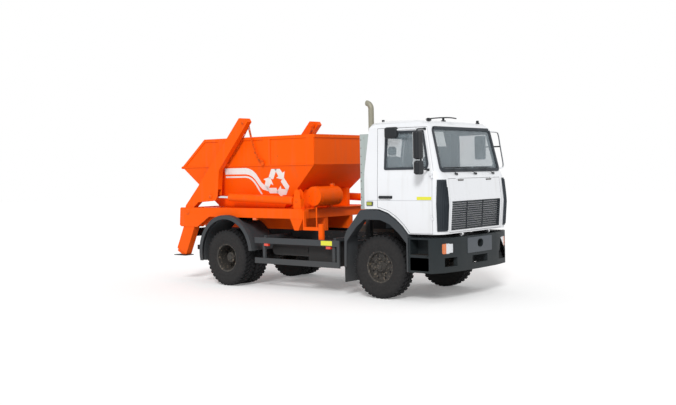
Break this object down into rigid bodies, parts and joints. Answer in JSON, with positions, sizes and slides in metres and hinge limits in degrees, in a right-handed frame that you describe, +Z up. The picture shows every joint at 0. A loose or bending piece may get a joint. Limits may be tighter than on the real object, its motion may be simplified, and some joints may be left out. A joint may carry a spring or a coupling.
{
  "type": "two-axle skip-loader garbage truck",
  "caption": "Two-axle cab-over refuse truck with swinging lift arms that carry an open skip on chains, rear stabiliser legs and a tilting cab",
  "frame": {"origin": "on the ground under the middle of the truck's length and width", "axes": "+X forward, +Y to the truck's left, +Z up"},
  "size_m": [6.648, 2.86, 3.4684],
  "materials": {
    "equipment_orange": "gloss paint, worn on the skip's sides",
    "cab_white": "gloss paint",
    "chassis_black": "satin chassis paint",
    "trim_grey": "grained dark grey plastic",
    "tyre_rubber": "rubber",
    "rim_silver": "silver paint, dusty",
    "glass": "clear",
    "chain_steel": "plain steel",
    "rod_chrome": "hard chrome",
    "lamp_lens": "clear and coloured lenses",
    "exhaust_metal": "heat worn aluminium paint",
    "seat_cloth": "woven seat cover",
    "engine_iron": "cast",
    "mirror_black": "grained black plastic"
  },
  "bodies": {
    "chassis": {"frame_rails": "chassis_black", "engine_block": "engine_iron", "axles": "engine_iron", "propshaft": "chassis_black", "leaf_springs": "chassis_black", "deck_frame": "equipment_orange", "side_beams": "equipment_orange", "leg_sleeves": "equipment_orange", "bumper": "trim_grey", "steps": "trim_grey", "mudguards": "trim_grey", "side_guards": "rim_silver", "fuel_tank": "chassis_black", "battery_box": "chassis_black", "exhaust_stack": "exhaust_metal", "oil_tank": "equipment_orange", "deck_stops": "equipment_orange", "control_stand": "equipment_orange", "rear_underrun": "chassis_black", "lamps": "lamp_lens"},
    "knuckle_left": {"knuckle_left": "engine_iron"},
    "knuckle_right": {"knuckle_right": "engine_iron"},
    "tie_rod": {"tie_rod": "chassis_black"},
    "wheel_front_left": {"front_tyre_left": "tyre_rubber", "front_rim_left": "rim_silver"},
    "wheel_front_right": {"front_tyre_right": "tyre_rubber", "front_rim_right": "rim_silver"},
    "wheel_rear_left": {"rear_tyres_left": "tyre_rubber", "rear_rims_left": "rim_silver"},
    "wheel_rear_right": {"rear_tyres_right": "tyre_rubber", "rear_rims_right": "rim_silver"},
    "arms": {"arm_left": "equipment_orange", "arm_right": "equipment_orange", "arm_tube": "equipment_orange"},
    "skip": {"skip": "equipment_orange", "chains": "chain_steel"},
    "barrel_left": {"barrel_left": "equipment_orange"},
    "barrel_right": {"barrel_right": "equipment_orange"},
    "rod_left": {"rod_left": "rod_chrome"},
    "rod_right": {"rod_right": "rod_chrome"},
    "leg_left": {"leg_left": "equipment_orange"},
    "leg_right": {"leg_right": "equipment_orange"},
    "cab": {"cab_shell": "cab_white", "cab_glass": "glass", "intake_panels": "trim_grey", "seats": "seat_cloth", "dashboard": "trim_grey"},
    "door_left": {"door_left": "cab_white", "door_glass_left": "glass", "mirrors_left": "mirror_black"},
    "door_right": {"door_right": "cab_white", "door_glass_right": "glass", "mirrors_right": "mirror_black"},
    "front_lid": {"front_lid": "cab_white", "grille": "trim_grey"}
  },
  "joints": [
    {"name": "steer_left", "type": "hinge", "parent": "chassis", "child": "knuckle_left", "pos_m": [1.994, 0.8, 0.55], "axis": [0, 0, 1], "range_deg": [-35, 35]},
    {"name": "steer_right", "type": "hinge", "parent": "chassis", "child": "knuckle_right", "pos_m": [1.994, -0.8, 0.55], "axis": [0, 0, 1], "range_deg": [-35, 35]},
    {"name": "tie_rod_shift", "type": "slide", "parent": "chassis", "child": "tie_rod", "axis": [0, -1, 0], "range_m": [-0.142, 0.142]},
    {"name": "spin_front_left", "type": "hinge", "parent": "knuckle_left", "child": "wheel_front_left", "pos_m": [1.994, 0.985, 0.55], "axis": [0, 1, 0], "continuous": true},
    {"name": "spin_front_right", "type": "hinge", "parent": "knuckle_right", "child": "wheel_front_right", "pos_m": [1.994, -0.985, 0.55], "axis": [0, 1, 0], "continuous": true},
    {"name": "spin_rear_left", "type": "hinge", "parent": "chassis", "child": "wheel_rear_left", "pos_m": [-1.706, 0.9, 0.55], "axis": [0, 1, 0], "continuous": true},
    {"name": "spin_rear_right", "type": "hinge", "parent": "chassis", "child": "wheel_rear_right", "pos_m": [-1.706, -0.9, 0.55], "axis": [0, 1, 0], "continuous": true},
    {"name": "arm_swing", "type": "hinge", "parent": "chassis", "child": "arms", "pos_m": [-2.906, 0, 1.435], "axis": [0, -1, 0], "range_deg": [0, 127]},
    {"name": "skip_level", "type": "hinge", "parent": "arms", "child": "skip", "pos_m": [-1.276, 0, 3.19], "axis": [0, -1, 0], "range_deg": [-127, 0]},
    {"name": "barrel_left_tilt", "type": "hinge", "parent": "chassis", "child": "barrel_left", "pos_m": [0.074, 1.05, 1.675], "axis": [0, -1, 0], "range_deg": [0, 0.09]},
    {"name": "rod_left_stroke", "type": "slide", "parent": "barrel_left", "child": "rod_left", "axis": [-0.9995, 0, 0.0326], "range_m": [0, 1.343]},
    {"name": "leg_left_drop", "type": "slide", "parent": "chassis", "child": "leg_left", "axis": [-0.4278, 0, -0.9039], "range_m": [0, 0.58]},
    {"name": "barrel_right_tilt", "type": "hinge", "parent": "chassis", "child": "barrel_right", "pos_m": [0.074, -1.05, 1.675], "axis": [0, -1, 0], "range_deg": [0, 0.09]},
    {"name": "rod_right_stroke", "type": "slide", "parent": "barrel_right", "child": "rod_right", "axis": [-0.9995, 0, 0.0326], "range_m": [0, 1.343]},
    {"name": "leg_right_drop", "type": "slide", "parent": "chassis", "child": "leg_right", "axis": [-0.4278, 0, -0.9039], "range_m": [0, 0.58]},
    {"name": "cab_tilt", "type": "hinge", "parent": "chassis", "child": "cab", "pos_m": [3.229, 0, 1.115], "axis": [0, 1, 0], "range_deg": [0, 50]},
    {"name": "door_left_swing", "type": "hinge", "parent": "cab", "child": "door_left", "pos_m": [3.094, 1.136, 2], "axis": [0, 0, -1], "range_deg": [0, 70]},
    {"name": "door_right_swing", "type": "hinge", "parent": "cab", "child": "door_right", "pos_m": [3.094, -1.136, 2], "axis": [0, 0, 1], "range_deg": [0, 70]},
    {"name": "front_lid_lift", "type": "hinge", "parent": "cab", "child": "front_lid", "pos_m": [3.234, 0, 2.055], "axis": [0, -1, 0], "range_deg": [0, 75]}
  ],
  "couplings": [
    {"joint": "steer_right", "follows": "steer_left", "ratio": 1},
    {"joint": "tie_rod_shift", "follows": "steer_left", "m_per_rad": 0.23},
    {"joint": "skip_level", "follows": "arm_swing", "ratio": -1},
    {"joint": "barrel_left_tilt", "follows": "arm_swing", "ratio": 0.000646},
    {"joint": "rod_left_stroke", "follows": "arm_swing", "m_per_rad": 0.60515},
    {"joint": "barrel_right_tilt", "follows": "arm_swing", "ratio": 0.000646},
    {"joint": "rod_right_stroke", "follows": "arm_swing", "m_per_rad": 0.60515}
  ]
}
